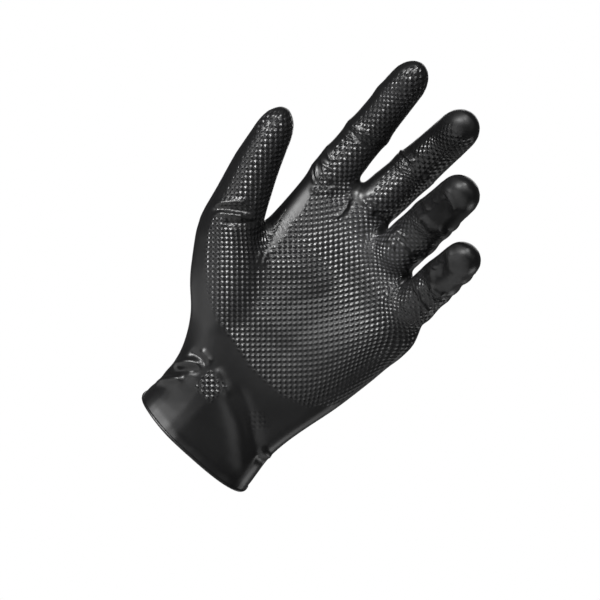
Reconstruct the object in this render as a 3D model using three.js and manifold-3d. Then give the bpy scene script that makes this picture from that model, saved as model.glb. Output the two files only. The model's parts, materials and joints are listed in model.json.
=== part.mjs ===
// A stretchy examination glove, shaped as a relaxed left hand fills it.
// The palm, the thumb, the fingers and the rolled rim are one dipped film, so they are one hollow solid.
// Millimetres: +Z runs up to the fingertips, +X to the little finger, and the palm faces -Y.
// The origin is the middle of the wrist opening.
import * as THREE from "three";
import Module from "manifold-3d";

const wasm = await Module();
wasm.setup();

// Driving dimensions
const film = 1.0; // wall of the glove, also the thickness taken off every inner form
const palmLength = 140; // wrist rim to the webs between the fingers
const palmBreadth = 92; // across the knuckles
const palmDepth = 28; // palm to back of the hand at the knuckles
const fingerLength = 100; // a digit whose joint shares add up to 1
const fingerBreadth = 20; // a digit whose width share is 1
const rimBead = 1.3; // radius of the rolled edge at the wrist
const jointBend = 13; // length of finger over which one joint bends
const mouthRun = 6; // how far the hollow's form runs out past the rim

// Facets of the outer and inner forms
const outerFacets = { palmSides: 36, palmRings: 28, digitSides: 16, digitRings: 28, tipRings: 4 };
const innerFacets = { palmSides: 30, palmRings: 18, digitSides: 10, digitRings: 12, tipRings: 3 };
const beadSides = 6;

// Palm sections from the wrist rim to the webs.
// up is a share of palmLength, left and right of palmBreadth, front and back of palmDepth.
// slant is the section's rise towards the little finger, and pitch its rise towards the back.
// cup is a share of palmDepth, how far the little finger side comes forward.
const palmSections = [
  { up: 0.0, left: -0.373, right: 0.375, front: -0.8, back: 0.82, slant: -0.055, pitch: 0.235, cup: 0 },
  { up: 0.06, left: -0.352, right: 0.366, front: -0.83, back: 0.67, slant: -0.03, pitch: 0.22, cup: 0 },
  { up: 0.13, left: -0.346, right: 0.36, front: -0.89, back: 0.52, slant: 0.0, pitch: 0.19, cup: 0 },
  { up: 0.21, left: -0.355, right: 0.377, front: -0.97, back: 0.32, slant: 0.0, pitch: 0.13, cup: 0.01 },
  { up: 0.31, left: -0.43, right: 0.412, front: -1.03, back: 0.18, slant: -0.03, pitch: 0.05, cup: 0.04 },
  { up: 0.42, left: -0.568, right: 0.455, front: -1.05, back: 0.12, slant: -0.06, pitch: 0.0, cup: 0.09 },
  { up: 0.53, left: -0.65, right: 0.493, front: -1.03, back: 0.1, slant: -0.06, pitch: 0.0, cup: 0.14 },
  { up: 0.6, left: -0.61, right: 0.513, front: -0.99, back: 0.08, slant: -0.08, pitch: 0.0, cup: 0.17 },
  { up: 0.67, left: -0.47, right: 0.53, front: -0.95, back: 0.08, slant: -0.12, pitch: 0.0, cup: 0.2 },
  { up: 0.73, left: -0.45, right: 0.544, front: -0.91, back: 0.08, slant: -0.22, pitch: 0.0, cup: 0.23 },
  { up: 0.8, left: -0.45, right: 0.554, front: -0.9, back: 0.06, slant: -0.32, pitch: 0.0, cup: 0.25 },
  { up: 0.87, left: -0.447, right: 0.558, front: -0.88, back: 0.02, slant: -0.36, pitch: 0.0, cup: 0.27 },
  { up: 0.94, left: -0.435, right: 0.51, front: -0.8, back: -0.08, slant: -0.37, pitch: 0.0, cup: 0.28 },
  { up: 1.0, left: -0.41, right: 0.44, front: -0.66, back: -0.2, slant: -0.37, pitch: 0.0, cup: 0.28 },
];
const cupBack = 0.15; // share of the cup that the back of the hand follows
const palmSquareness = 2.5; // exponent of the palm section, where 2 is an ellipse
const palmEndShare = 0.06; // share of the palm's length that rounds off between the fingers

// Digits. across is a share of palmBreadth, up of palmLength and forward of palmDepth, at the root joint.
// root, middle and tip are shares of fingerLength from joint to joint, width and depth of fingerBreadth.
// The bends are the angles of the three joints.
const digits = [
  {
    name: "index", across: -0.334, up: 0.87, forward: 0.43, splay: -0.6, lean: 2, twist: 0,
    root: 0.46, middle: 0.23, tip: 0.205, width: 1.01, depth: 0.95,
    rootBend: 3, middleBend: 14, tipBend: 14,
  },
  {
    name: "middle", across: -0.1, up: 0.88, forward: 0.43, splay: 8.5, lean: 0, twist: 0,
    root: 0.44, middle: 0.26, tip: 0.245, width: 1.06, depth: 0.975,
    rootBend: 7, middleBend: 28, tipBend: 26,
  },
  {
    name: "ring", across: 0.16, up: 0.83, forward: 0.47, splay: 6.0, lean: 0, twist: 0,
    root: 0.44, middle: 0.26, tip: 0.24, width: 1.05, depth: 0.925,
    rootBend: 32, middleBend: 32, tipBend: 10,
  },
  {
    name: "little", across: 0.4, up: 0.735, forward: 0.57, splay: 4.8, lean: 0, twist: 0,
    root: 0.365, middle: 0.205, tip: 0.195, width: 0.95, depth: 0.85,
    rootBend: 32, middleBend: 28, tipBend: 10,
  },
  {
    name: "thumb", across: -0.143, up: 0.27, forward: 0.5, splay: -37.3, lean: 4, twist: 75,
    root: 0.64, middle: 0.33, tip: 0.32, width: 1.1, depth: 1.05,
    rootBend: 0, middleBend: 21, tipBend: 5,
  },
];

// Width and depth of a digit along its length, as shares of its own width and depth.
const fingerSections = [
  { at: 0.0, width: 0.7, depth: 0.7 },
  { at: 0.12, width: 1.02, depth: 0.98 },
  { at: 0.26, width: 1.09, depth: 1.06 },
  { at: 0.4, width: 1.04, depth: 1.05 },
  { at: 0.5, width: 1.03, depth: 1.0 },
  { at: 0.62, width: 0.98, depth: 0.98 },
  { at: 0.76, width: 0.95, depth: 0.92 },
  { at: 0.88, width: 0.92, depth: 0.88 },
  { at: 1.0, width: 0.86, depth: 0.84 },
];
const thumbSections = [
  { at: 0.0, width: 0.7, depth: 0.8 },
  { at: 0.12, width: 1.1, depth: 1.4 },
  { at: 0.28, width: 1.28, depth: 1.72 },
  { at: 0.42, width: 1.24, depth: 1.62 },
  { at: 0.54, width: 1.14, depth: 1.42 },
  { at: 0.66, width: 1.05, depth: 1.23 },
  { at: 0.76, width: 1.0, depth: 1.1 },
  { at: 0.87, width: 0.95, depth: 0.92 },
  { at: 1.0, width: 0.84, depth: 0.76 },
];
const tipRoundShare = 0.6; // length of the rounded tip as a share of the digit's width

// Raised folds and sunk creases of the film. turn is the way it faces, 0 to the side and 270 to the palm.
// at and run are the place and half length along a form, rise is the height, all as shares of its length.
// arc is the half angle that the fold goes round.
// The hollow follows only folds of at least hollowFoldRun, so the film is thicker at the narrow ones.
const hollowFoldRun = 0.08;
const folds = [
  { form: "index", at: 0.2, run: 0.03, turn: 200, arc: 50, rise: 0.012 },
  { form: "index", at: 0.3, run: 0.028, turn: 205, arc: 50, rise: 0.01 },
  { form: "index", at: 0.49, run: 0.028, turn: 220, arc: 60, rise: 0.012 },
  { form: "index", at: 0.54, run: 0.03, turn: 340, arc: 45, rise: 0.012 },
  { form: "index", at: 0.74, run: 0.04, turn: 190, arc: 50, rise: 0.008 },
  { form: "middle", at: 0.22, run: 0.03, turn: 250, arc: 60, rise: 0.01 },
  { form: "middle", at: 0.48, run: 0.022, turn: 250, arc: 95, rise: 0.015 },
  { form: "ring", at: 0.2, run: 0.03, turn: 240, arc: 70, rise: 0.01 },
  { form: "ring", at: 0.36, run: 0.03, turn: 330, arc: 60, rise: 0.012 },
  { form: "ring", at: 0.48, run: 0.026, turn: 280, arc: 90, rise: 0.016 },
  { form: "ring", at: 0.58, run: 0.026, turn: 330, arc: 60, rise: 0.012 },
  { form: "little", at: 0.24, run: 0.035, turn: 330, arc: 60, rise: 0.014 },
  { form: "little", at: 0.42, run: 0.03, turn: 300, arc: 80, rise: 0.016 },
  { form: "little", at: 0.54, run: 0.028, turn: 300, arc: 90, rise: 0.016 },
  { form: "little", at: 0.72, run: 0.04, turn: 345, arc: 50, rise: 0.014 },
  { form: "thumb", at: 0.5, run: 0.02, turn: 200, arc: 70, rise: 0.007 },
  { form: "thumb", at: 0.56, run: 0.02, turn: 200, arc: 70, rise: 0.009 },
  { form: "palm", at: 0.6, run: 0.2, turn: 266, arc: 22, rise: -0.022 },
  { form: "palm", at: 0.42, run: 0.16, turn: 325, arc: 22, rise: 0.012 },
  { form: "palm", at: 0.86, run: 0.05, turn: 290, arc: 30, rise: 0.012 },
  { form: "palm", at: 0.2, run: 0.03, turn: 220, arc: 24, rise: 0.014 },
  { form: "palm", at: 0.13, run: 0.025, turn: 212, arc: 20, rise: 0.014 },
  { form: "palm", at: 0.08, run: 0.1, turn: 258, arc: 12, rise: 0.012 },
];

// A value of one column of a table at t, on a smooth curve through its rows.
function columnAt(rows, key, column, t) {
  const last = rows.length - 1;
  let i = 0;
  while (i < last - 1 && t > rows[i + 1][key]) i++;
  const before = rows[Math.max(i - 1, 0)];
  const a = rows[i];
  const b = rows[i + 1];
  const after = rows[Math.min(i + 2, last)];
  const span = b[key] - a[key];
  const u = THREE.MathUtils.clamp((t - a[key]) / span, 0, 1);
  const slopeA = ((b[column] - before[column]) / (b[key] - before[key])) * span;
  const slopeB = ((after[column] - a[column]) / (after[key] - a[key])) * span;
  return (
    (2 * u ** 3 - 3 * u ** 2 + 1) * a[column] +
    (u ** 3 - 2 * u ** 2 + u) * slopeA +
    (-2 * u ** 3 + 3 * u ** 2) * b[column] +
    (u ** 3 - u ** 2) * slopeB
  );
}

// How far the folds of at least leastRun lift a form's film at t along it and facing turn.
function foldRise(form, t, turn, leastRun) {
  let rise = 0;
  for (const fold of folds) {
    if (fold.form !== form || fold.run < leastRun) continue;
    const away = THREE.MathUtils.euclideanModulo(THREE.MathUtils.radToDeg(turn) - fold.turn + 180, 360) - 180;
    rise += fold.rise * Math.exp(-(((t - fold.at) / fold.run) ** 2) - (away / fold.arc) ** 2);
  }
  return rise;
}

// A closed solid through rings of points. Each end closes on one point, unless the rings go round a loop.
function loft(rings, ends) {
  const sides = rings[0].length;
  const points = rings.flat();
  const triangles = [];
  const spans = ends ? rings.length - 1 : rings.length;
  for (let r = 0; r < spans; r++) {
    const here = r * sides;
    const next = ((r + 1) % rings.length) * sides;
    for (let k = 0; k < sides; k++) {
      const beside = (k + 1) % sides;
      triangles.push(here + k, here + beside, next + beside);
      triangles.push(here + k, next + beside, next + k);
    }
  }
  if (ends) {
    const top = (rings.length - 1) * sides;
    const startPole = points.push(ends[0]) - 1;
    const endPole = points.push(ends[1]) - 1;
    for (let k = 0; k < sides; k++) {
      const beside = (k + 1) % sides;
      triangles.push(startPole, beside, k);
      triangles.push(endPole, top + k, top + beside);
    }
  }
  return new wasm.Manifold(
    new wasm.Mesh({
      numProp: 3,
      vertProperties: new Float32Array(points.flatMap((p) => p.toArray())),
      triVerts: new Uint32Array(triangles),
    }),
  );
}

// Palm, wrist and rim
function palmSection(t, inset, sides, shrink = 1) {
  const value = (column) => columnAt(palmSections, "up", column, t);
  const left = value("left") * palmBreadth;
  const right = value("right") * palmBreadth;
  const front = value("front") * palmDepth;
  const back = value("back") * palmDepth;
  const middleX = (left + right) / 2;
  const middleY = (front + back) / 2;
  const halfX = ((right - left) / 2 - inset) * shrink;
  const halfY = ((back - front) / 2 - inset) * shrink;
  const ring = [];
  for (let k = 0; k < sides; k++) {
    const turn = (k / sides) * 2 * Math.PI;
    const bow = (c) => Math.sign(c) * Math.abs(c) ** (2 / palmSquareness);
    const rise = foldRise("palm", t, turn, inset > 0 ? hollowFoldRun : 0) * palmLength * shrink;
    const x = middleX + halfX * bow(Math.cos(turn)) + rise * Math.cos(turn);
    const forwardShare = cupBack + ((1 - cupBack) * (1 - Math.sin(turn))) / 2;
    const cup = value("cup") * palmDepth * smooth((x - middleX) / halfX) * forwardShare;
    const y = middleY + halfY * bow(Math.sin(turn)) + rise * Math.sin(turn) - cup;
    const z = t * palmLength + value("slant") * (x - middleX) + value("pitch") * (y - middleY);
    ring.push(new THREE.Vector3(x, y, z));
  }
  return ring;
}

function middleOf(ring) {
  const sum = ring.reduce((total, p) => total.add(p), new THREE.Vector3());
  return sum.divideScalar(ring.length);
}

// The rounded end shrinks as a quarter ellipse does.
function palmForm(inset, facets, runOut) {
  const rings = [];
  const endStart = 1 - palmEndShare;
  for (let r = 0; r <= facets.palmRings; r++) {
    rings.push(palmSection((r / facets.palmRings) * endStart, inset, facets.palmSides));
  }
  const endLength = palmEndShare - inset / palmLength;
  for (let r = 1; r <= facets.tipRings; r++) {
    const turn = (r / (facets.tipRings + 1)) * (Math.PI / 2);
    const t = endStart + endLength * Math.sin(turn);
    rings.push(palmSection(t, inset, facets.palmSides, 0.45 + 0.55 * Math.cos(turn)));
  }
  const endPoint = middleOf(palmSection(endStart + endLength, inset, facets.palmSides));
  if (runOut) {
    const outwards = new THREE.Vector3(0, palmSections[0].pitch, -1).setLength(runOut);
    rings.unshift(rings[0].map((p) => p.clone().add(outwards)));
  }
  return loft(rings, [middleOf(rings[0]), endPoint]);
}

// The rolled edge: a round bead along the rim, proud of the film.
function rimForm() {
  const rim = palmSection(0, film / 2, outerFacets.palmSides);
  const centre = middleOf(rim);
  const up = new THREE.Vector3(0, -palmSections[0].pitch, 1).normalize();
  const rings = rim.map((p) => {
    const out = p.clone().sub(centre).projectOnPlane(up).normalize();
    const ring = [];
    for (let k = 0; k < beadSides; k++) {
      const turn = (k / beadSides) * 2 * Math.PI;
      ring.push(
        p.clone()
          .addScaledVector(out, rimBead * Math.cos(turn))
          .addScaledVector(up, rimBead * (Math.sin(turn) + 1)),
      );
    }
    return ring;
  });
  return loft(rings, null);
}

// Thumb and fingers
function smooth(t) {
  const u = THREE.MathUtils.clamp(t, 0, 1);
  return u * u * (3 - 2 * u);
}

// The digit's axis as a list of places: point, direction and the side and palm directions of its section.
function digitAxis(digit, length, steps) {
  const degrees = THREE.MathUtils.degToRad;
  const side = new THREE.Vector3(1, 0, 0).applyAxisAngle(new THREE.Vector3(0, 1, 0), degrees(digit.splay));
  const along = new THREE.Vector3(0, 0, 1)
    .applyAxisAngle(new THREE.Vector3(0, 1, 0), degrees(digit.splay))
    .applyAxisAngle(side, degrees(digit.lean));
  side.applyAxisAngle(along, degrees(digit.twist));
  const joints = [
    { at: 0, bend: digit.rootBend },
    { at: digit.root * fingerLength, bend: digit.middleBend },
    { at: (digit.root + digit.middle) * fingerLength, bend: digit.tipBend },
  ];
  const point = new THREE.Vector3(
    digit.across * palmBreadth,
    -digit.forward * palmDepth,
    digit.up * palmLength,
  );
  const places = [];
  for (let i = 0; i <= steps; i++) {
    const s = (i / steps) * length;
    let bend = 0;
    for (const joint of joints) bend += joint.bend * smooth((s - joint.at) / jointBend + 0.5);
    const direction = along.clone().applyAxisAngle(side, degrees(bend));
    const palmwards = side.clone().cross(direction);
    places.push({ s, point: point.clone(), side, palmwards });
    point.addScaledVector(direction, length / steps);
  }
  return places;
}

function digitForm(digit, inset, facets) {
  const sections = digit.name === "thumb" ? thumbSections : fingerSections;
  const fullLength = (digit.root + digit.middle + digit.tip) * fingerLength;
  const length = fullLength - inset;
  const cap = digit.width * fingerBreadth * tipRoundShare;
  const steps = 200;
  const axis = digitAxis(digit, length, steps);
  const stations = [];
  for (let r = 0; r <= facets.digitRings; r++) {
    stations.push({ s: (r / facets.digitRings) * (length - cap), shrink: 1 });
  }
  for (let r = 1; r <= facets.tipRings; r++) {
    const turn = (r / (facets.tipRings + 1)) * (Math.PI / 2);
    stations.push({ s: length - cap + cap * Math.sin(turn), shrink: Math.cos(turn) });
  }
  const rings = stations.map(({ s, shrink }) => {
    const place = axis[Math.round((s / length) * steps)];
    const t = s / fullLength;
    const fullWidth = columnAt(sections, "at", "width", t) * digit.width * fingerBreadth;
    const fullDepth = columnAt(sections, "at", "depth", t) * digit.depth * fingerBreadth;
    const halfWidth = (fullWidth / 2 - inset) * shrink;
    const halfDepth = (fullDepth / 2 - inset) * shrink;
    const ring = [];
    for (let k = 0; k < facets.digitSides; k++) {
      const turn = (k / facets.digitSides) * 2 * Math.PI;
      const rise = foldRise(digit.name, t, turn, inset > 0 ? hollowFoldRun : 0) * fullLength * shrink;
      ring.push(
        place.point.clone()
          .addScaledVector(place.side, (halfWidth + rise) * Math.cos(turn))
          .addScaledVector(place.palmwards, -(halfDepth + rise) * Math.sin(turn)),
      );
    }
    return ring;
  });
  return loft(rings, [axis[0].point, axis[steps].point]);
}

// The glove's whole outer or inner form, as one solid.
function handForm(inset, facets, runOut) {
  const forms = digits.map((digit) => digitForm(digit, inset, facets));
  return forms.reduce((whole, form) => whole.add(form), palmForm(inset, facets, runOut));
}

const glove = handForm(0, outerFacets, 0).add(rimForm()).subtract(handForm(film, innerFacets, mouthRun));

// A solid as a three.js mesh.
function meshOf(solid, name, material) {
  const made = solid.getMesh();
  const geometry = new THREE.BufferGeometry();
  geometry.setAttribute("position", new THREE.BufferAttribute(made.vertProperties, 3));
  geometry.setIndex(new THREE.BufferAttribute(made.triVerts, 1));
  geometry.computeVertexNormals();
  const mesh = new THREE.Mesh(geometry, material);
  mesh.name = name;
  return mesh;
}

const blackNitrile = new THREE.MeshStandardMaterial({ color: 0x202021, roughness: 0.45, metalness: 0 });

const group = new THREE.Group();
group.add(meshOf(glove, "glove", blackNitrile));

export default group;
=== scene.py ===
import json
import math

import bpy
import numpy as np
from mathutils import Matrix, Vector

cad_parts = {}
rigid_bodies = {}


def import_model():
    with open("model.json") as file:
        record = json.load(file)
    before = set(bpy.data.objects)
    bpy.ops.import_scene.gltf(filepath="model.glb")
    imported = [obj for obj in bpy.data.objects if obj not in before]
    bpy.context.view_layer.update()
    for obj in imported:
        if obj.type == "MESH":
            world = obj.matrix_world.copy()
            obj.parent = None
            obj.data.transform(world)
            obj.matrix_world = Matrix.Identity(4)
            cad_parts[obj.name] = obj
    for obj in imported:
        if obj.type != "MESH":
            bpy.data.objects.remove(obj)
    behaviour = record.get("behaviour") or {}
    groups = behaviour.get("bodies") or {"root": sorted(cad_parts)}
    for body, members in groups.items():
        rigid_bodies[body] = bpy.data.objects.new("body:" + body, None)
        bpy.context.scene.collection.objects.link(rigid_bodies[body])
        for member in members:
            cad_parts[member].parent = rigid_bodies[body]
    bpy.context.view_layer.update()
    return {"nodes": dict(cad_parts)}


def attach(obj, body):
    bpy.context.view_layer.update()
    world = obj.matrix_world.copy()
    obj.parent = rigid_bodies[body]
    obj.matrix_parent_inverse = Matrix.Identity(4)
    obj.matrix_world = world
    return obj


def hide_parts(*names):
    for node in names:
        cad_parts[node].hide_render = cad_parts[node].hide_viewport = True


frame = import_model()

# The glove stands with its fingers up and its palm towards -Y. The origin is the middle of the wrist opening.
# Shapes are worked out in millimetres, and meshes are in metres.
MM = 0.001

# Sizes of the film
FILM_GRAIN = 0.93  # face size of the outer film
FILM_WALL = 0.55  # outer film to lining
LINING_SHARE = 0.1  # faces that the lining keeps
RIM_HEIGHT = 0.9  # middle of the rolled bead over the rim's plane
RIM_BEAD = 0.78  # radius of the rolled bead
RIM_PITCH = 0.235  # rise of the rim towards the back of the wrist
RIM_SLANT = -0.055  # rise of the rim towards the little finger side
RIM_NORMAL = (-RIM_SLANT, -RIM_PITCH, 1)
CUFF_END = 4.5  # where the smooth cuff is carried on down from
CUFF_RUN_OUT = (0, -1.6, -9)

# Smoothing: rounds all over, rounds at the seams, and how far along a digit its seam reaches
SMOOTHING = 0.5
WHOLE_ROUNDS = 8
SEAM_ROUNDS = 120
SEAM_RUN = 14

# The finish of the film
FILM_SHADE = 0.0045  # how light the black is
FILM_BLUE = 1.06  # its blue as a share of its red and green
FILM_ROUGHNESS = 0.3
DULL_ROUGHNESS = 0.2  # how much rougher a dull spot is
DOT_GLOSS = 0.3  # how much smoother a dot is for its height

# The dot grid of the grip
DOT_PITCH = 2.45
DOT_HEIGHT = 0.52
DOT_PAINTED_HIGHLIGHT = 0.09  # how much lighter a dot's colour is painted where it gets a painted highlight
DOT_REACH = 0.47  # radius of a dot as a share of the pitch
BACK_SHIFT = 3.7  # the back half of the mould has its own grid
# On the palm the rows rise towards the little finger, from this far right of the rim on in the picture
ROWS_RISE = 0.24
ROWS_RISE_FROM = 58
ROWS_RISE_RUN = 9

# The picture's plane: the photograph's right and up directions, and the point that it looks at
PICTURE_TURN = math.radians(40)
RIGHT = np.array([math.cos(PICTURE_TURN), 0, math.sin(PICTURE_TURN)])
UP = np.array([-math.sin(PICTURE_TURN), 0, math.cos(PICTURE_TURN)])
NEAR = np.array([0, -1, 0])
CENTRE = np.array([-4.5, -12, 85.2])
FLAT_TO_PICTURE = np.array([RIGHT[[0, 2]], UP[[0, 2]]]).T
VIEW_DISTANCE = 1000.0

# Digits: the root joint in millimetres, the angles in degrees, and the lengths from joint to joint.
# The dot grid follows the digit from from_s on.
DIGIT_COLUMNS = (
    "name", "x", "y", "z", "splay", "lean", "twist", "root", "middle", "tip", "bends", "radius", "from_s",
)
DIGIT_ROWS = [
    ("index", -30.7, -12.0, 121.8, -0.6, 2, 0, 46, 23, 20.5, (3, 14, 14), 10.1, 8),
    ("middle", -9.2, -12.0, 123.2, 8.5, 0, 0, 44, 26, 24.5, (7, 28, 26), 10.6, 8),
    ("ring", 14.7, -13.2, 116.2, 6.0, 0, 0, 44, 26, 24, (32, 32, 10), 10.5, 6),
    ("little", 36.8, -16.0, 102.9, 4.8, 0, 0, 36.5, 20.5, 19.5, (32, 28, 10), 9.5, 6),
    ("thumb", -13.2, -14.0, 37.8, -37.3, 4, 75, 64, 33, 32, (0, 21, 5), 15.0, 48),
]
DIGITS = [dict(zip(DIGIT_COLUMNS, row)) for row in DIGIT_ROWS]
DIGIT_NUMBERS = {digit["name"]: number for number, digit in enumerate(DIGITS)}
PALM = -1
JOINT_BEND = 13.0
BLEND_RUN = 14.0  # length over which a digit's dot grid takes over from the palm's

# Palm sections: height, left and right edges, front, back, and how far the little finger side comes forward
PALM_Z = (0, 8, 18, 29, 43, 59, 74, 84, 94, 102, 112, 122, 132, 140)
PALM_LEFT = (-34, -32, -32, -33, -40, -52, -60, -56, -43, -41, -41, -41, -40, -38)
PALM_RIGHT = (35, 34, 33, 35, 38, 42, 45, 47, 49, 50, 51, 51, 47, 41)
PALM_FRONT = (-22, -23, -25, -27, -29, -29, -29, -28, -27, -25, -25, -25, -22, -18)
PALM_BACK = (23, 19, 15, 9, 5, 3, 3, 2, 2, 2, 2, 1, -2, -6)
PALM_CUP = (0, 0, 0, 0.3, 1.1, 2.5, 3.9, 4.8, 5.6, 6.4, 7, 7.6, 7.8, 7.8)
# The palm's film is unrolled round its little finger edge up to this height, for a share of its half depth
EDGE_TOP = 104
EDGE_FADE = 20
EDGE_ROLL = 1.4

# Folds and creases on the palm side. Their paths are in the picture's plane, right and up of the rim.
# rise is the height in millimetres, below zero for a crease.
FOLD_COLUMNS = ("on", "half_width", "rise", "path")
FOLD_ROWS = [
    # index finger
    ("index", 0.8, 0.56, ((69.5, 151.5), (72, 148.1), (75.6, 145.2), (78, 144))),
    ("index", 1.4, -0.6, ((72.6, 153.4), (76, 148.4), (81, 144), (87, 140.4))),
    ("index", 0.9, 0.34, ((76.5, 155), (80, 150.6), (85, 146), (91, 142.5))),
    ("index", 0.7, 0.52, ((64, 145), (64.2, 142), (64.3, 139.2), (65.6, 136), (68.4, 134.5))),
    ("index", 0.7, 0.49, ((60.6, 140.6), (60.8, 138.4), (61.8, 134), (66.2, 130.4))),
    ("any", 0.6, 0.52, ((58.6, 138.2), (57.2, 134), (57, 129.2), (58.4, 122.6))),
    ("any", 0.55, 0.41, ((59.4, 136.6), (58.9, 132), (58.8, 128.5), (60, 124.6))),
    ("any", 0.6, 0.3, ((61.8, 134.7), (62.8, 128.8), (66.4, 124))),
    ("any", 1.5, 0.7, ((55.6, 121.6), (59, 120.6), (63.4, 120.5), (69, 121.5))),
    ("any", 0.8, 0.3, ((66, 122.6), (69.1, 122.2), (75, 121))),
    ("any", 1.6, -0.6, ((64.6, 116.8), (69, 117.6), (74.6, 118))),
    # web between the index and middle fingers
    ("any", 0.75, 0.6, ((75.2, 116.6), (73.6, 112.4), (71, 109.2), (67.4, 106.6))),
    ("any", 1.3, -0.4, ((76.8, 117.4), (76, 113), (73.4, 108.6))),
    ("any", 0.55, 0.52, ((81.2, 116.6), (82.8, 113.6), (85.1, 111.4), (88.4, 109))),
    ("any", 0.5, 0.38, ((82.6, 116.8), (85.4, 115), (89, 113.4))),
    ("any", 2.6, -1.5, ((85, 109.6), (90, 107.2), (98, 105.8))),
    ("any", 0.6, 0.38, ((89, 107.8), (93, 107.8), (98, 107.3))),
    # middle finger
    ("middle", 0.9, 1.23, ((96.6, 142.4), (98.4, 140.6), (101, 138.4), (104.4, 135.4), (107, 133.4))),
    ("middle", 0.5, 0.56, ((97.6, 139), (98.6, 137.4), (100.4, 135), (103, 131.4))),
    ("middle", 1.2, -0.62, ((99.6, 143.4), (103, 140.2), (106.6, 137))),
    ("middle", 0.7, 0.43, ((95.6, 134.6), (97.6, 133), (100.6, 130.4))),
    ("middle", 1.4, 0.88, ((111, 128), (114, 125), (116.4, 124))),
    # ring finger
    ("any", 1.2, 0.9, ((97.8, 103.6), (96.4, 101), (94.4, 98), (93, 95))),
    ("any", 0.6, 0.52, ((96.8, 102.4), (99, 99.6), (101, 98.6), (102.8, 96.4))),
    ("any", 0.42, 0.41, ((96.6, 98.2), (98.6, 95.8), (101.6, 92.6), (104.8, 89.6))),
    ("any", 1.2, -0.6, ((98.6, 97.4), (101.6, 94.4), (105.4, 90.6))),
    ("any", 0.7, 0.38, ((94.2, 98), (95.4, 94.6), (97.2, 90))),
    ("ring", 0.9, 1.12, ((109.6, 117.6), (111.4, 114.6), (112.4, 112.6), (113.6, 110.4))),
    ("ring", 0.8, 0.78, ((107.6, 109.6), (109, 108.3), (110.8, 106.6))),
    ("ring", 1.1, -0.9, ((107.6, 115.6), (109.4, 112.6), (110.6, 109.4))),
    ("ring", 1.0, 0.9, ((113.6, 120), (115.6, 117.4), (117, 114))),
    ("ring", 1.0, 0.78, ((117, 121), (119, 118.4), (120.4, 115.6))),
    ("ring", 1.1, 1.35, ((117.6, 103), (120.4, 101), (123, 100.6))),
    ("ring", 1.5, 1.1, ((104.5, 113), (109, 109.5), (113, 104), (115, 99))),
    ("ring", 1.6, 1.2, ((119, 124), (122, 120), (125, 114.5), (126, 109))),
    ("ring", 1.6, -0.9, ((116, 123.4), (119.5, 118.6), (122.4, 112), (123, 107))),
    # little finger
    ("little", 0.9, 1.02, ((113.6, 90), (115, 86.6), (116.4, 82.4))),
    ("little", 0.8, 0.78, ((117, 92.4), (118.4, 89), (119, 85.6))),
    ("little", 0.6, 0.68, ((106.4, 76.4), (107.6, 73.6), (109.2, 67.6), (114.6, 60.8))),
    ("little", 0.6, 0.51, ((104.6, 79), (106, 74.4), (108, 70))),
    ("little", 1.2, 1.35, ((113.6, 74.4), (117, 71.4), (121, 70.4))),
    ("little", 1.5, 1.1, ((110, 92), (113, 87), (114.4, 81), (114, 76))),
    ("little", 1.6, 1.2, ((119, 98), (122.5, 93), (123.6, 87), (122.6, 81))),
    ("little", 1.6, -0.9, ((115.6, 96), (118.6, 91), (119.6, 85), (118.4, 79))),
    # between the little finger and the palm
    ("any", 1.5, -1, ((98.6, 74.6), (101.6, 77.6), (104.4, 81))),
    ("any", 0.8, 0.45, ((100.4, 73.8), (103.4, 77), (106.4, 79.6))),
    ("any", 0.9, 0.38, ((99, 66), (103, 64), (107, 63.4))),
    ("any", 0.9, 0.34, ((97, 61), (102, 59.4), (107, 59.6))),
    # base of the thumb
    ("any", 1.1, 1.0, ((9.6, 113.2), (13, 114.8), (17.8, 115.2), (26.4, 115.2))),
    ("any", 1.4, -1.2, ((8.6, 111.6), (14, 112), (20, 111.6), (28, 110.4))),
    ("any", 1.2, 1.0, ((9, 109), (14, 110), (19, 109), (27, 107.4))),
    ("any", 1.3, -1.0, ((14, 105.4), (25, 105.2), (32, 105.2))),
    # the palm's hollow is shallower, and the film sinks along the roots of the fingers
    ("palm", 17, 1.3, ((34, 48), (49, 68), (64, 88))),
    ("any", 4.5, -1.2, ((76, 119), (92, 108), (107, 93), (111, 78))),
    # web between the thumb and the index finger
    ("any", 1.0, 0.38, ((30.6, 84), (31.4, 88), (33, 92))),
    ("any", 0.8, 0.3, ((33.6, 83.6), (34, 87.4), (36, 91.6))),
    # cuff
    ("palm", 1.7, 1.3, ((-10, 36.4), (-5, 38.4), (-0.6, 38.4), (5.4, 37))),
    ("palm", 1.9, -1.3, ((-14.6, 32.4), (-9, 33.8), (-3, 34.4), (3.4, 34.8))),
    ("palm", 1.7, 1.3, ((-20, 27.6), (-15.8, 29.2), (-11, 30.6), (-4, 30.4))),
    ("palm", 1.6, 0.8, ((3.6, 44.6), (5, 42), (7, 39.4), (9.4, 38))),
    ("palm", 2.0, -0.8, ((-2, 43.6), (3, 41), (6.6, 37))),
    ("palm", 2.2, 0.7, ((11, 36), (14.6, 29), (18, 21.4))),
    ("palm", 4.2, 0.9, ((13, 30), (17.4, 20), (21.4, 8.4), (23, -6), (26.6, -20))),
    ("palm", 3.4, -0.8, ((20, 30), (25.4, 16), (29, 4), (31, -8))),
    ("palm", 1.6, 1.3, ((31.4, -3.4), (34.4, -5), (38.4, -8.4))),
    ("palm", 1.8, -0.9, ((29.4, -7.4), (33.4, -9.6), (37, -12))),
]
FOLDS = [dict(zip(FOLD_COLUMNS, row)) for row in FOLD_ROWS]
FINE_FOLD = 1.0  # folds up to this half width get finer faces
FOLD_ENDS = 0.22  # share of its length over which a fold runs out at each end
WORN_FOLD = 1.5  # folds under this half width have weaker dots on them
WORN_SHARE = 0.75  # how much weaker

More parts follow.
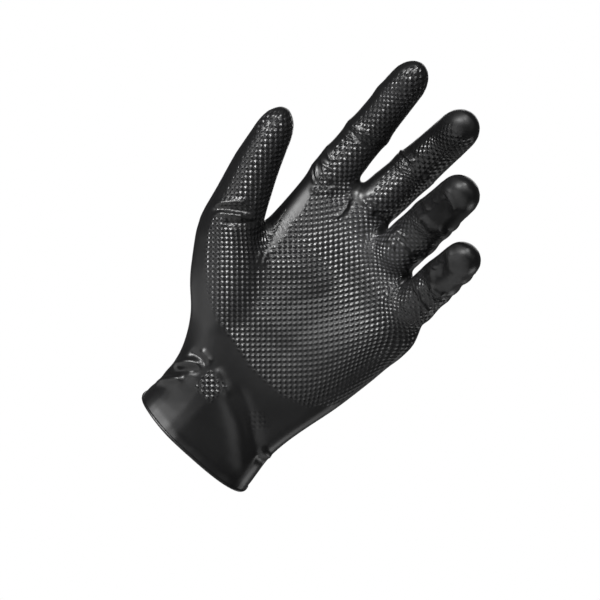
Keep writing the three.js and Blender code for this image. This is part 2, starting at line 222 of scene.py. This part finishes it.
# Where the grip's dots begin, as paths in the picture's plane with the dots on their right hand
THUMB_BORDER = (
    (110, 26), (76, 17.8), (54.7, 16.8), (41.8, 22.1), (27.4, 36), (18.2, 49.9), (11.5, 58.1), (7.2, 68.2),
    (5.8, 92.2), (7, 99.4), (9, 107.5), (10.9, 114.2), (14.9, 119.5), (17.8, 124.9), (20.2, 129.7),
    (23.8, 137.8), (28.8, 145.9), (36, 168),
)
INDEX_BORDER = (
    (31.2, 84.8), (33.6, 87.4), (37, 93.6), (43.2, 98.4), (46.6, 105.1), (51.4, 109.9), (56.2, 118.6),
    (59, 125.8), (64.8, 133.9), (67.7, 141.6), (73, 147.4), (76.2, 153), (80.2, 156.6), (85.3, 161.4),
    (89.4, 166.2), (92.2, 171), (97, 175.7), (101.8, 179), (112, 183),
)
MIDDLE_BORDER = (
    (72, 98), (83, 116.2), (87.8, 122.4), (91.2, 128.6), (96.5, 134.4), (101.3, 138.7), (107, 141.6),
    (112.3, 145.9), (119, 151.2), (130, 158),
)
# The plain web lies between the thumb and the index finger, over this place in the picture's plane.
# The film is stretched round its middle, this far to the right and up.
WEB_FROM = (31.2, 84.0)
WEB_MIDDLE = (40, 99)
WEB_REACH = (12, 14)
# The cuff has a small dotted patch and some faint dots: right and up in the picture, reach, and strength
CUFF_PATCH = (8.2, 26.6, 9, 0.9)
FAINT_PATCH = (30, 10, 7, 0.2)
# The palm runs into the thumb ball along this path without a valley
THUMB_VALLEY = ((31, 95), (31, 86), (32, 76), (36, 62))
THUMB_VALLEY_RUN = 11  # width smoothed to each side
# How high the dots stand round some places: right and up in the picture's plane, reach, and change of height
GRIP_LIFTS = (
    (46, 60, 34, -0.25), (62, 40, 30, -0.3), (84, 102, 20, 0.1), (14, 72, 18, 0.2), (122, 112, 22, -0.7),
    (124, 78, 20, -0.7),
)
# Painted highlight: where the dots' colour is painted paler in place of their brighter sheen, in the same
# columns
PAINTED_HIGHLIGHT_SPOTS = (
    (84, 102, 16, 1.1), (98, 88, 13, 0.9), (60, 98, 20, 0.25), (34, 150, 18, 0.5), (24, 118, 16, 0.3),
    (14, 76, 20, 0.5), (76, 130, 12, 0.5), (96, 168, 16, 0.4), (94, 126, 10, 0.3), (102, 66, 14, 0.3),
)
# Where the film is duller, in the same columns
DULL_SPOTS = (
    (58, 38, 30, 0.9), (52, 118, 10, 0.5), (112, 104, 9, 0.7), (132, 158, 9, 1.0), (132, 126, 9, 1.0),
    (130, 96, 9, 1.0), (44, 170, 9, 0.4), (-15, 13, 9, 0.9),
)
# Share of a digit's length where the dots end
GRIP_ENDS = {"index": 0.985, "middle": 0.93, "ring": 0.6, "little": 0.52, "thumb": 0.975}


# Working on one piece at a time
def only(piece):
    """Makes one piece the selected and active one."""
    bpy.ops.object.select_all(action="DESELECT")
    piece.select_set(True)
    bpy.context.view_layer.objects.active = piece


def apply_all(piece):
    only(piece)
    for modifier in list(piece.modifiers):
        bpy.ops.object.modifier_apply(modifier=modifier.name)


def places_of(mesh):
    """Places of a mesh's points, in millimetres."""
    flat = np.empty(len(mesh.vertices) * 3)
    mesh.vertices.foreach_get("co", flat)
    return flat.reshape(-1, 3) / MM


def normals_of(mesh):
    flat = np.empty(len(mesh.vertices) * 3)
    mesh.vertices.foreach_get("normal", flat)
    return flat.reshape(-1, 3)


def put_places(mesh, places):
    mesh.vertices.foreach_set("co", (places * MM).ravel())
    mesh.update()


def copy_of(piece, name):
    made = bpy.data.objects.new(name, piece.data.copy())
    bpy.context.scene.collection.objects.link(made)
    return made


def smooth_step(t):
    t = np.clip(t, 0, 1)
    return t * t * (3 - 2 * t)


def in_picture(spots):
    """Where each spot shows in the photograph, right and up of the rim's middle."""
    offset = spots - CENTRE
    depth = offset @ NEAR
    scale = VIEW_DISTANCE / (VIEW_DISTANCE - depth)
    right = CENTRE @ RIGHT + (offset @ RIGHT) * scale
    up = CENTRE @ UP + (offset @ UP) * scale
    return np.stack([right, up], axis=1)


def from_path(marks, path):
    """Distance of each mark from a path, share of the path's length, and the side: 1 right, -1 left."""
    corners = np.array(path, float)
    runs = np.diff(corners, axis=0)
    lengths = np.hypot(runs[:, 0], runs[:, 1])
    before = np.concatenate([[0], np.cumsum(lengths)])
    nearest = np.full(len(marks), np.inf)
    share = np.zeros(len(marks))
    side = np.ones(len(marks))
    for start, run, length, done in zip(corners, runs, lengths, before):
        offset = marks - start
        t = np.clip(offset @ run / length**2, 0, 1)
        gap = offset - t[:, None] * run
        distance = np.hypot(gap[:, 0], gap[:, 1])
        closer = distance < nearest
        turn = run[0] * offset[:, 1] - run[1] * offset[:, 0]
        side = np.where(closer, np.where(turn < 0, 1.0, -1.0), side)
        share = np.where(closer, (done + t * length) / before[-1], share)
        nearest = np.where(closer, distance, nearest)
    return nearest, share, side


# The outer film starts as the solid's outer skin, without its bead
def outer_skin():
    skin = copy_of(frame["nodes"]["glove"], "glove_film")
    only(skin)
    bpy.ops.object.mode_set(mode="EDIT")
    bpy.ops.mesh.select_all(action="SELECT")
    bpy.ops.mesh.remove_doubles(threshold=0.002 * MM)
    bpy.ops.mesh.select_all(action="SELECT")
    middle = (0, 0, CUFF_END * MM)
    bpy.ops.mesh.bisect(plane_co=middle, plane_no=RIM_NORMAL, clear_inner=True, use_fill=False)
    bpy.ops.mesh.select_all(action="DESELECT")
    bpy.ops.object.mode_set(mode="OBJECT")
    top = max(skin.data.vertices, key=lambda vertex: vertex.co.z)
    top.select = True
    bpy.ops.object.mode_set(mode="EDIT")
    bpy.ops.mesh.select_linked()
    bpy.ops.mesh.select_all(action="INVERT")
    bpy.ops.mesh.delete(type="VERT")
    # The cut edge runs on down past the rim, where it is cut again later
    bpy.ops.mesh.select_all(action="SELECT")
    bpy.ops.mesh.region_to_loop()
    run_out = tuple(part * MM for part in CUFF_RUN_OUT)
    bpy.ops.mesh.extrude_region_move(TRANSFORM_OT_translate={"value": run_out})
    bpy.ops.mesh.edge_face_add()
    bpy.ops.mesh.select_all(action="SELECT")
    bpy.ops.mesh.normals_make_consistent(inside=False)
    bpy.ops.object.mode_set(mode="OBJECT")
    return skin


skin = outer_skin()
even = skin.modifiers.new("even", "REMESH")
even.mode = "VOXEL"
even.voxel_size = FILM_GRAIN * MM
even.use_smooth_shade = True
apply_all(skin)


class Axis:
    """The line down the middle of a digit, with the side and palm directions of its sections."""

    def __init__(self, digit):
        turn = Matrix.Rotation(math.radians(digit["splay"]), 3, "Y")
        side = turn @ Vector((1, 0, 0))
        along = turn @ Vector((0, 0, 1))
        along = Matrix.Rotation(math.radians(digit["lean"]), 3, side) @ along
        side = Matrix.Rotation(math.radians(digit["twist"]), 3, along) @ side
        self.length = digit["root"] + digit["middle"] + digit["tip"]
        self.run = np.linspace(0, self.length, 121)
        step = self.run[1]
        joints = (0, digit["root"], digit["root"] + digit["middle"])
        point = np.array([digit["x"], digit["y"], digit["z"]])
        flat = np.array([digit["x"], digit["z"]])
        places = []
        for s in self.run:
            shares = [smooth_step((s - at) / JOINT_BEND + 0.5) for at in joints]
            bend = float(np.dot(shares, digit["bends"]))
            way = Matrix.Rotation(math.radians(bend), 3, side) @ along
            slope = math.atan2(way.x, math.hypot(way.y, way.z))
            across = np.cross(-NEAR, way)
            across /= np.linalg.norm(across)
            front = np.cross(across, way)
            places.append((*point, *way, *across, *front, *flat, slope))
            point = point + np.array(way) * step
            flat = flat + np.array([math.sin(slope), math.cos(slope)]) * step
        self.places = np.array(places)

    def near(self, spots):
        """Each spot's run along the digit, its offset across and forward, and the digit's place there."""
        points = self.places[:, 0:3]
        best = np.zeros(len(spots), int)
        for start in range(0, len(spots), 20000):
            part = spots[start : start + 20000]
            gap = part[:, None, :] - points[None, :, :]
            best[start : start + 20000] = (gap * gap).sum(axis=2).argmin(axis=1)
        offset = spots - points[best]
        beyond = (offset * self.places[best, 3:6]).sum(axis=1)
        s = self.run[best] + beyond
        here = np.stack([np.interp(s, self.run, column) for column in self.places.T], axis=1)
        offset = spots - here[:, 0:3]
        aside = (offset * here[:, 6:9]).sum(axis=1)
        forward = (offset * here[:, 9:12]).sum(axis=1)
        return s, aside, forward, here


AXES = [Axis(digit) for digit in DIGITS]


def slant_rows(flat):
    """Makes the palm's rows of dots rise towards the little finger."""
    marks = flat @ FLAT_TO_PICTURE
    past = marks[:, 0] - ROWS_RISE_FROM
    marks[:, 1] -= ROWS_RISE * 0.5 * (past + np.hypot(past, ROWS_RISE_RUN))
    return marks @ FLAT_TO_PICTURE.T


def film_fields(spots):
    """For each spot: front and back dot grid places, how it faces, its digit and its run along it."""
    x, y, z = spots.T
    left = np.interp(z, PALM_Z, PALM_LEFT)
    right = np.interp(z, PALM_Z, PALM_RIGHT)
    front = np.interp(z, PALM_Z, PALM_FRONT)
    back = np.interp(z, PALM_Z, PALM_BACK)
    half = 0.5 * (back - front)
    cup = np.interp(z, PALM_Z, PALM_CUP) * smooth_step((2 * x - left - right) / (right - left))
    y = y + cup * np.clip((back - y) / (back - front), 0, 1)
    near_edge = smooth_step((x - 0.5 * right) / (0.4 * right)) * smooth_step((EDGE_TOP - z) / EDGE_FADE)
    roll_front = np.clip(y - front, 0, half * EDGE_ROLL) * near_edge
    roll_back = np.clip(back - y, 0, half * EDGE_ROLL) * near_edge
    front_map = slant_rows(np.stack([x + roll_front, z], axis=1))
    back_map = np.stack([x + roll_back + BACK_SHIFT, z], axis=1)
    facing = (0.5 * (front + back) - y) / half
    place = np.full(len(spots), PALM)
    along = np.zeros(len(spots))
    for number, (digit, axis) in enumerate(zip(DIGITS, AXES)):
        s, aside, forward, here = axis.near(spots)
        reach = np.hypot(aside, forward)
        weight = smooth_step((s - digit["from_s"]) / BLEND_RUN)
        weight = weight * smooth_step((1.6 - reach / digit["radius"]) / 0.35)
        radius = np.maximum(reach, 0.55 * digit["radius"])
        flat = here[:, 12:14]
        slope = here[:, 14]
        cross = np.stack([np.cos(slope), -np.sin(slope)], axis=1)
        past = np.clip(s - axis.length, 0, None) + np.clip(s, None, 0)
        spine = flat + np.stack([np.sin(slope), np.cos(slope)], axis=1) * past[:, None]
        digit_front = spine + cross * (np.arctan2(aside, forward) * radius)[:, None]
        digit_back = spine + cross * (np.arctan2(aside, -forward) * radius)[:, None]
        digit_back[:, 0] += BACK_SHIFT
        root = np.array([[digit["x"], digit["z"]]])
        digit_front += slant_rows(root) - root
        w = weight[:, None]
        front_map = front_map * (1 - w) + digit_front * w
        back_map = back_map * (1 - w) + digit_back * w
        facing = facing * (1 - weight) + (forward / np.maximum(reach, 0.1) + 0.1) * weight
        place = np.where(weight > 0.5, number, place)
        along = np.where(weight > 0.5, s / axis.length, along)
    return front_map, back_map, facing, place, along


def soften(piece):
    """Smooths the film all over, and more where the fingers and the thumb leave the palm."""
    spots = places_of(piece.data)
    seam = np.zeros(len(spots))
    for digit, axis in zip(DIGITS, AXES):
        s, aside, forward, here = axis.near(spots)
        reach = np.hypot(aside, forward) / digit["radius"]
        start = 0.55 * digit["from_s"]
        near = np.exp(-(((s - start) / SEAM_RUN) ** 2)) * smooth_step((1.9 - reach) / 0.5)
        seam = np.maximum(seam, near)
    distance, share, side = from_path(in_picture(spots), THUMB_VALLEY)
    valley = smooth_step((THUMB_VALLEY_RUN - distance) / 5) * (normals_of(piece.data) @ NEAR > 0)
    seam = np.maximum(seam, valley)
    group = piece.vertex_groups.new(name="seam")
    for level in range(1, 11):
        inside = np.nonzero(np.round(seam * 10) == level)[0]
        group.add([int(number) for number in inside], level / 10, "REPLACE")
    whole = piece.modifiers.new("whole", "SMOOTH")
    whole.factor = SMOOTHING
    whole.iterations = WHOLE_ROUNDS
    seams = piece.modifiers.new("seams", "SMOOTH")
    seams.factor = SMOOTHING
    seams.iterations = SEAM_ROUNDS
    seams.vertex_group = "seam"
    apply_all(piece)
    piece.vertex_groups.clear()


soften(skin)


# The rim: the film is cut at its plane
def cut_at_rim(piece):
    only(piece)
    bpy.ops.object.mode_set(mode="EDIT")
    bpy.ops.mesh.select_all(action="SELECT")
    middle = (0, 0, RIM_HEIGHT * MM)
    bpy.ops.mesh.bisect(plane_co=middle, plane_no=RIM_NORMAL, clear_inner=True)
    bpy.ops.object.mode_set(mode="OBJECT")


cut_at_rim(skin)


def lining_of(piece):
    """The same film seen from inside."""
    lining = copy_of(piece, "glove_lining")
    fewer = lining.modifiers.new("fewer", "DECIMATE")
    fewer.ratio = LINING_SHARE
    inwards = lining.modifiers.new("inwards", "DISPLACE")
    inwards.mid_level = 0
    inwards.strength = -FILM_WALL * MM
    apply_all(lining)
    bpy.ops.object.mode_set(mode="EDIT")
    bpy.ops.mesh.select_all(action="SELECT")
    bpy.ops.mesh.flip_normals()
    bpy.ops.object.mode_set(mode="OBJECT")
    return lining


# The rolled bead round the film's cut edge
def bead_of(piece):
    bead = copy_of(piece, "glove_bead")
    only(bead)
    bpy.ops.object.mode_set(mode="EDIT")
    bpy.ops.mesh.select_all(action="SELECT")
    bpy.ops.mesh.region_to_loop()
    bpy.ops.mesh.select_all(action="INVERT")
    bpy.ops.mesh.delete(type="VERT")
    bpy.ops.mesh.select_all(action="SELECT")
    bpy.ops.mesh.remove_doubles(threshold=1.3 * MM)
    bpy.ops.mesh.select_all(action="SELECT")
    bpy.ops.mesh.vertices_smooth(factor=0.5, repeat=6)
    bpy.ops.object.mode_set(mode="OBJECT")
    bpy.ops.object.convert(target="CURVE")
    bead.data.bevel_depth = RIM_BEAD * MM
    bead.data.bevel_resolution = 3
    bpy.ops.object.convert(target="MESH")
    return bead


bead = bead_of(skin)


# Folds and creases
def front_marks(mesh):
    """Picture places of a mesh's points, the digit each is on, and how far each faces the palm side."""
    spots = places_of(mesh)
    facing = normals_of(mesh) @ NEAR
    place = film_fields(spots)[3]
    return in_picture(spots), place, facing


def on_form(fold, place):
    """Which points are on the part of the glove that a fold belongs to."""
    if fold["on"] == "any":
        return np.ones(len(place), bool)
    if fold["on"] == "palm":
        return place == PALM
    return place == DIGIT_NUMBERS[fold["on"]]


def refine_folds(piece):
    """Splits the faces under the fine folds."""
    mesh = piece.data
    marks, place, facing = front_marks(mesh)
    chosen = np.zeros(len(marks), bool)
    for fold in FOLDS:
        if fold["half_width"] > FINE_FOLD:
            continue
        distance, share, side = from_path(marks, fold["path"])
        chosen |= (distance < 1.3 * fold["half_width"] + 0.5) & (facing > 0.05) & on_form(fold, place)
    only(piece)
    bpy.ops.object.mode_set(mode="EDIT")
    bpy.ops.mesh.select_mode(type="VERT")
    bpy.ops.mesh.select_all(action="DESELECT")
    bpy.ops.object.mode_set(mode="OBJECT")
    mesh.vertices.foreach_set("select", chosen)
    bpy.ops.object.mode_set(mode="EDIT")
    bpy.ops.mesh.select_mode(type="FACE")
    bpy.ops.mesh.subdivide(number_cuts=1, smoothness=0.8)
    bpy.ops.object.mode_set(mode="OBJECT")


def raise_folds(piece):
    """Lifts the film at the folds and sinks it at the creases."""
    mesh = piece.data
    marks, place, facing = front_marks(mesh)
    lift = np.zeros(len(marks))
    for fold in FOLDS:
        distance, share, side = from_path(marks, fold["path"])
        profile = np.exp(-((distance / fold["half_width"]) ** 2))
        ends = smooth_step(share / FOLD_ENDS) * smooth_step((1 - share) / FOLD_ENDS)
        lift += fold["rise"] * profile * ends * on_form(fold, place)
    lift *= smooth_step((facing - 0.05) / 0.35)
    put_places(mesh, places_of(mesh) + normals_of(mesh) * lift[:, None])


refine_folds(skin)
raise_folds(skin)
# The lining is made after the folds, so that it follows them inside the film
lining = lining_of(skin)


# Fields for the finish: the dot grid, where the film is dotted, stretched or dull, and where its dots get a
# painted highlight
def round_spots(marks, rows):
    """Adds up soft round spots, each with its place in the picture, its reach and its amount."""
    total = np.zeros(len(marks))
    for right, up, reach, amount in rows:
        away = ((marks[:, 0] - right) ** 2 + (marks[:, 1] - up) ** 2) / reach**2
        total += amount * np.exp(-away)
    return total


def grip_mask(marks, facing, place, along):
    """1 where the film is dotted, 0 where it is plain."""
    mask = smooth_step((np.abs(facing) - 0.12) / 0.2)
    distance, share, side = from_path(marks, THUMB_BORDER)
    past_border = smooth_step((distance * side + 1) / 2.5)
    mask = mask * np.where((place == PALM) | (place == DIGIT_NUMBERS["thumb"]), past_border, 1)
    distance, share, side = from_path(marks, INDEX_BORDER)
    past_border = smooth_step((distance * side + 0.5) / 2)
    by_web = (marks[:, 0] > WEB_FROM[0]) & (marks[:, 1] > WEB_FROM[1]) & (place == PALM)
    by_web = (by_web | (place == DIGIT_NUMBERS["index"])) & (facing > 0)
    mask = mask * np.where(by_web, past_border, 1)
    distance, share, side = from_path(marks, MIDDLE_BORDER)
    past_border = smooth_step((distance * side + 0.5) / 2)
    mask = mask * np.where((place == DIGIT_NUMBERS["middle"]) & (facing > 0), past_border, 1)
    for number, digit in enumerate(DIGITS):
        fade = 1 - smooth_step((along - GRIP_ENDS[digit["name"]] + 0.03) / 0.06)
        mask = np.where(place == number, mask * fade, mask)
    right, up, reach, strength = CUFF_PATCH
    away = np.abs(marks[:, 0] - right) / reach + np.abs(marks[:, 1] - up) / reach
    small_patch = smooth_step((1 - away) / 0.3) * strength
    right, up, reach, strength = FAINT_PATCH
    away = np.hypot(marks[:, 0] - right, marks[:, 1] - up) / reach
    faint_patch = smooth_step((1 - away) / 0.5) * strength
    for fold in FOLDS:
        if fold["half_width"] < WORN_FOLD:
            distance, share, side = from_path(marks, fold["path"])
            reach = 1.2 * fold["half_width"] + 0.3
            on_fold = np.exp(-((distance / reach) ** 2)) * on_form(fold, place)
            mask = mask * (1 - WORN_SHARE * on_fold * (facing > 0))
    lift = 1 + round_spots(marks, GRIP_LIFTS) * (facing > 0)
    return np.maximum(mask * lift, np.where(facing > 0.3, np.maximum(small_patch, faint_patch), 0))


def add_fields(piece):
    """Gives the film its dot grid as a UV map, and its fields as attributes of its points."""
    mesh = piece.data
    spots = places_of(mesh)
    marks = in_picture(spots)
    front_map, back_map, facing, place, along = film_fields(spots)
    front_grid = front_map @ FLAT_TO_PICTURE / DOT_PITCH
    back_grid = back_map @ FLAT_TO_PICTURE / DOT_PITCH
    corners = np.empty(len(mesh.loops), int)
    mesh.loops.foreach_get("vertex_index", corners)
    starts = np.empty(len(mesh.polygons), int)
    mesh.polygons.foreach_get("loop_start", starts)
    totals = np.empty(len(mesh.polygons), int)
    mesh.polygons.foreach_get("loop_total", totals)
    face_facing = np.add.reduceat(facing[corners], starts) / totals
    corner_front = np.repeat(face_facing > 0, totals)
    grid = np.where(corner_front[:, None], front_grid[corners], back_grid[corners])
    layer = mesh.uv_layers.new(name="dot_grid")
    layer.data.foreach_set("uv", grid.astype(np.float32).ravel())
    grip = grip_mask(marks, facing, place, along)
    away = (marks - WEB_MIDDLE) / WEB_REACH
    web = np.hypot(away[:, 0], away[:, 1])
    stretch = smooth_step((1.3 - web) / 0.6) * np.clip(1 - grip, 0, 1) * (facing > 0)
    dull = round_spots(marks, DULL_SPOTS) * (facing > 0)
    # Painted highlight: where the dots' colour is painted paler
    painted_highlight = round_spots(marks, PAINTED_HIGHLIGHT_SPOTS) * (facing > 0)
    for name, values in (("grip", grip), ("stretch", stretch), ("dull", dull), ("painted_highlight", painted_highlight)):
        attribute = mesh.attributes.new(name, "FLOAT", "POINT")
        attribute.data.foreach_set("value", values.astype(np.float32))


add_fields(skin)


# Shader maths as plain expressions
class Value:
    """A node socket that can be used in sums."""

    def __init__(self, tree, socket):
        self.tree = tree
        self.socket = socket

    def math(self, operation, *others):
        node = self.tree.nodes.new("ShaderNodeMath")
        node.operation = operation
        for place, value in enumerate((self, *others)):
            if isinstance(value, Value):
                self.tree.links.new(value.socket, node.inputs[place])
            else:
                node.inputs[place].default_value = value
        return Value(self.tree, node.outputs[0])

    def __add__(self, other):
        return self.math("ADD", other)

    def __mul__(self, other):
        return self.math("MULTIPLY", other)

    def __sub__(self, other):
        return self.math("SUBTRACT", other)

    def __rsub__(self, other):
        return (self * -1) + other

    def __pow__(self, other):
        return self.math("POWER", other)

    __radd__ = __add__
    __rmul__ = __mul__


class Finish:
    """A material in the making."""

    def __init__(self, name):
        self.material = bpy.data.materials.new(name)
        self.material.use_nodes = True
        self.tree = self.material.node_tree
        self.tree.nodes.clear()

    def node(self, kind, output=0, settings=None, **values):
        made = self.tree.nodes.new(kind)
        for key, value in (settings or {}).items():
            setattr(made, key, value)
        for key, value in values.items():
            socket = made.inputs[key.replace("_", " ")]
            if isinstance(value, Value):
                self.tree.links.new(value.socket, socket)
            else:
                socket.default_value = value
        return Value(self.tree, made.outputs[output])

    def part(self, vector, axis):
        """The run of a vector along one direction."""
        made = self.tree.nodes.new("ShaderNodeVectorMath")
        made.operation = "DOT_PRODUCT"
        self.tree.links.new(vector.socket, made.inputs[0])
        made.inputs[1].default_value = axis
        return Value(self.tree, made.outputs["Value"])

    def surface(self, shader):
        output = self.tree.nodes.new("ShaderNodeOutputMaterial")
        self.tree.links.new(shader.socket, output.inputs["Surface"])
        return self.material


def nitrile():
    finish = Finish("black_nitrile")
    grid = finish.node("ShaderNodeUVMap", settings={"uv_map": "dot_grid"})
    u = finish.part(grid, (1, 0, 0))
    v = finish.part(grid, (0, 1, 0))
    grip = finish.node("ShaderNodeAttribute", output=2, settings={"attribute_name": "grip"})
    stretch = finish.node("ShaderNodeAttribute", output=2, settings={"attribute_name": "stretch"})
    dull = finish.node("ShaderNodeAttribute", output=2, settings={"attribute_name": "dull"})
    painted_highlight = finish.node("ShaderNodeAttribute", output=2, settings={"attribute_name": "painted_highlight"})
    place = finish.node("ShaderNodeTexCoord", output=3)
    # The grip: a raised round dot at each crossing of the grid, on a faint net
    off_u = u - u.math("ROUND")
    off_v = v - v.math("ROUND")
    reach = (off_u * off_u + off_v * off_v).math("SQRT")
    dots = (1 - reach * (1 / DOT_REACH)).math("MAXIMUM", 0.0)
    net = (0.5 - off_u.math("ABSOLUTE")).math("MAXIMUM", 0.5 - off_v.math("ABSOLUTE")) * 2
    relief = (dots * 0.9 + net**6 * 0.1) * grip
    # Pull lines in the stretched web
    along_line = 0.42 * RIGHT - 0.91 * UP
    across_line = 0.91 * RIGHT + 0.42 * UP
    along = finish.part(place, tuple(along_line * 70))
    across = finish.part(place, tuple(across_line * 900))
    lines_place = finish.node("ShaderNodeCombineXYZ", X=across, Y=along, Z=0.0)
    lines = finish.node("ShaderNodeTexNoise", Vector=lines_place, Scale=1.0, Detail=2.0, Roughness=0.6)
    soft = finish.node("ShaderNodeTexNoise", Vector=place, Scale=90.0, Detail=2.0, Roughness=0.5)
    fine = finish.node("ShaderNodeTexNoise", Vector=place, Scale=900.0, Detail=2.0, Roughness=0.5)
    film = finish.node("ShaderNodeBump", Strength=0.35, Distance=0.4 * MM, Height=soft)
    pull = lines * stretch
    pulled = finish.node("ShaderNodeBump", Strength=1.0, Distance=0.35 * MM, Height=pull, Normal=film)
    grain = finish.node("ShaderNodeBump", Strength=0.2, Distance=0.04 * MM, Height=fine, Normal=pulled)
    high = DOT_HEIGHT * MM
    normal = finish.node("ShaderNodeBump", Strength=1.0, Distance=high, Height=relief, Normal=grain)
    gloss = (dots * grip).math("MINIMUM", 0.3) * DOT_GLOSS
    roughness = fine * 0.05 + FILM_ROUGHNESS - gloss + dull * DULL_ROUGHNESS
    # Base colour: the film's black, with a painted highlight that makes the dots paler in the painted
    # highlight spots
    tone_with_painted_highlight = (dots * grip).math("MINIMUM", 0.5) * painted_highlight * DOT_PAINTED_HIGHLIGHT + FILM_SHADE
    colour = finish.node("ShaderNodeCombineXYZ", X=tone_with_painted_highlight, Y=tone_with_painted_highlight, Z=tone_with_painted_highlight * FILM_BLUE)
    surface = finish.node(
        "ShaderNodeBsdfPrincipled",
        Base_Color=colour,
        Roughness=roughness,
        Normal=normal,
    )
    return finish.surface(surface)


def join_film(parts, finish):
    """Makes the film, its lining and its bead one piece."""
    for part in parts:
        part.data.materials.clear()
        part.data.materials.append(finish)
    only(parts[0])
    for part in parts[1:]:
        part.select_set(True)
    bpy.ops.object.join()
    bpy.ops.object.shade_smooth()
    return parts[0]


glove = join_film([skin, lining, bead], nitrile())
triangles = sum(len(face.vertices) - 2 for face in glove.data.polygons)
print("glove film triangles", triangles)
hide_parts("glove")
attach(glove, "root")


# Floor, light and camera, in metres
FLOOR_SIZE = 1.2
FLOOR_DROP = 0.35
ROOM_LIGHT = 0.07  # share of the white room that lights the glove
# Lights: name, place right, up and near of the glove's middle, width, height, and power in watts
LIGHTS = (
    ("key", -0.7, 0.65, 0.8, 0.35, 0.35, 14),
    ("top", 0.1, 0.95, 0.85, 0.4, 0.35, 12),
    ("front", 0.05, 0.5, 1.15, 0.5, 0.35, 3),
    ("fill", 0.9, -0.2, 0.7, 0.6, 0.9, 0.6),
    ("edge", 0.6, -0.9, -0.5, 0.5, 0.5, 1.2),
    ("back", 0.3, 0.5, -1.2, 0.8, 0.8, 3),
)


def plain_material(name, colour):
    finish = Finish(name)
    return finish.surface(finish.node("ShaderNodeBsdfPrincipled", Base_Color=(*colour, 1.0), Roughness=0.8))


bpy.ops.mesh.primitive_plane_add(size=FLOOR_SIZE, location=(0, 0, -FLOOR_DROP))
floor = bpy.context.object
floor.name = "floor"
floor.data.materials.append(plain_material("pale_floor", (0.85, 0.85, 0.85)))


def soft_box(name, right, up, near, width, height, power):
    """An area light that looks at the glove's middle."""
    middle = CENTRE * MM
    place = middle + right * RIGHT + up * UP + near * NEAR
    bpy.ops.object.light_add(type="AREA", location=tuple(place))
    light = bpy.context.object
    light.name = name
    light.data.shape = "RECTANGLE"
    light.data.size = width
    light.data.size_y = height
    light.data.energy = power
    way = Vector(middle - place)
    light.rotation_euler = way.to_track_quat("-Z", "Y").to_euler()
    return light


for row in LIGHTS:
    soft_box(*row)

world = bpy.data.worlds.new("studio")
bpy.context.scene.world = world
world.use_nodes = True
sky = world.node_tree
sky.nodes.clear()
seen = sky.nodes.new("ShaderNodeBackground")
seen.inputs["Color"].default_value = (1, 1, 1, 1)
seen.inputs["Strength"].default_value = 1.0
dim = sky.nodes.new("ShaderNodeBackground")
dim.inputs["Color"].default_value = (1, 1, 1, 1)
dim.inputs["Strength"].default_value = ROOM_LIGHT
rays = sky.nodes.new("ShaderNodeLightPath")
mix = sky.nodes.new("ShaderNodeMixShader")
sky.links.new(rays.outputs["Is Camera Ray"], mix.inputs[0])
sky.links.new(dim.outputs[0], mix.inputs[1])
sky.links.new(seen.outputs[0], mix.inputs[2])
sky_out = sky.nodes.new("ShaderNodeOutputWorld")
sky.links.new(mix.outputs[0], sky_out.inputs[0])
bpy.context.scene.view_settings.view_transform = "Standard"

camera_data = bpy.data.cameras.new("camera")
camera = bpy.data.objects.new("camera", camera_data)
bpy.context.scene.collection.objects.link(camera)
camera_data.lens = 125
camera_data.sensor_width = 36
camera_data.clip_start = 0.05
eye = (CENTRE + VIEW_DISTANCE * NEAR) * MM
turn = Matrix((RIGHT, UP, NEAR)).transposed().to_4x4()
camera.matrix_world = Matrix.Translation(eye) @ turn
bpy.context.scene.camera = camera
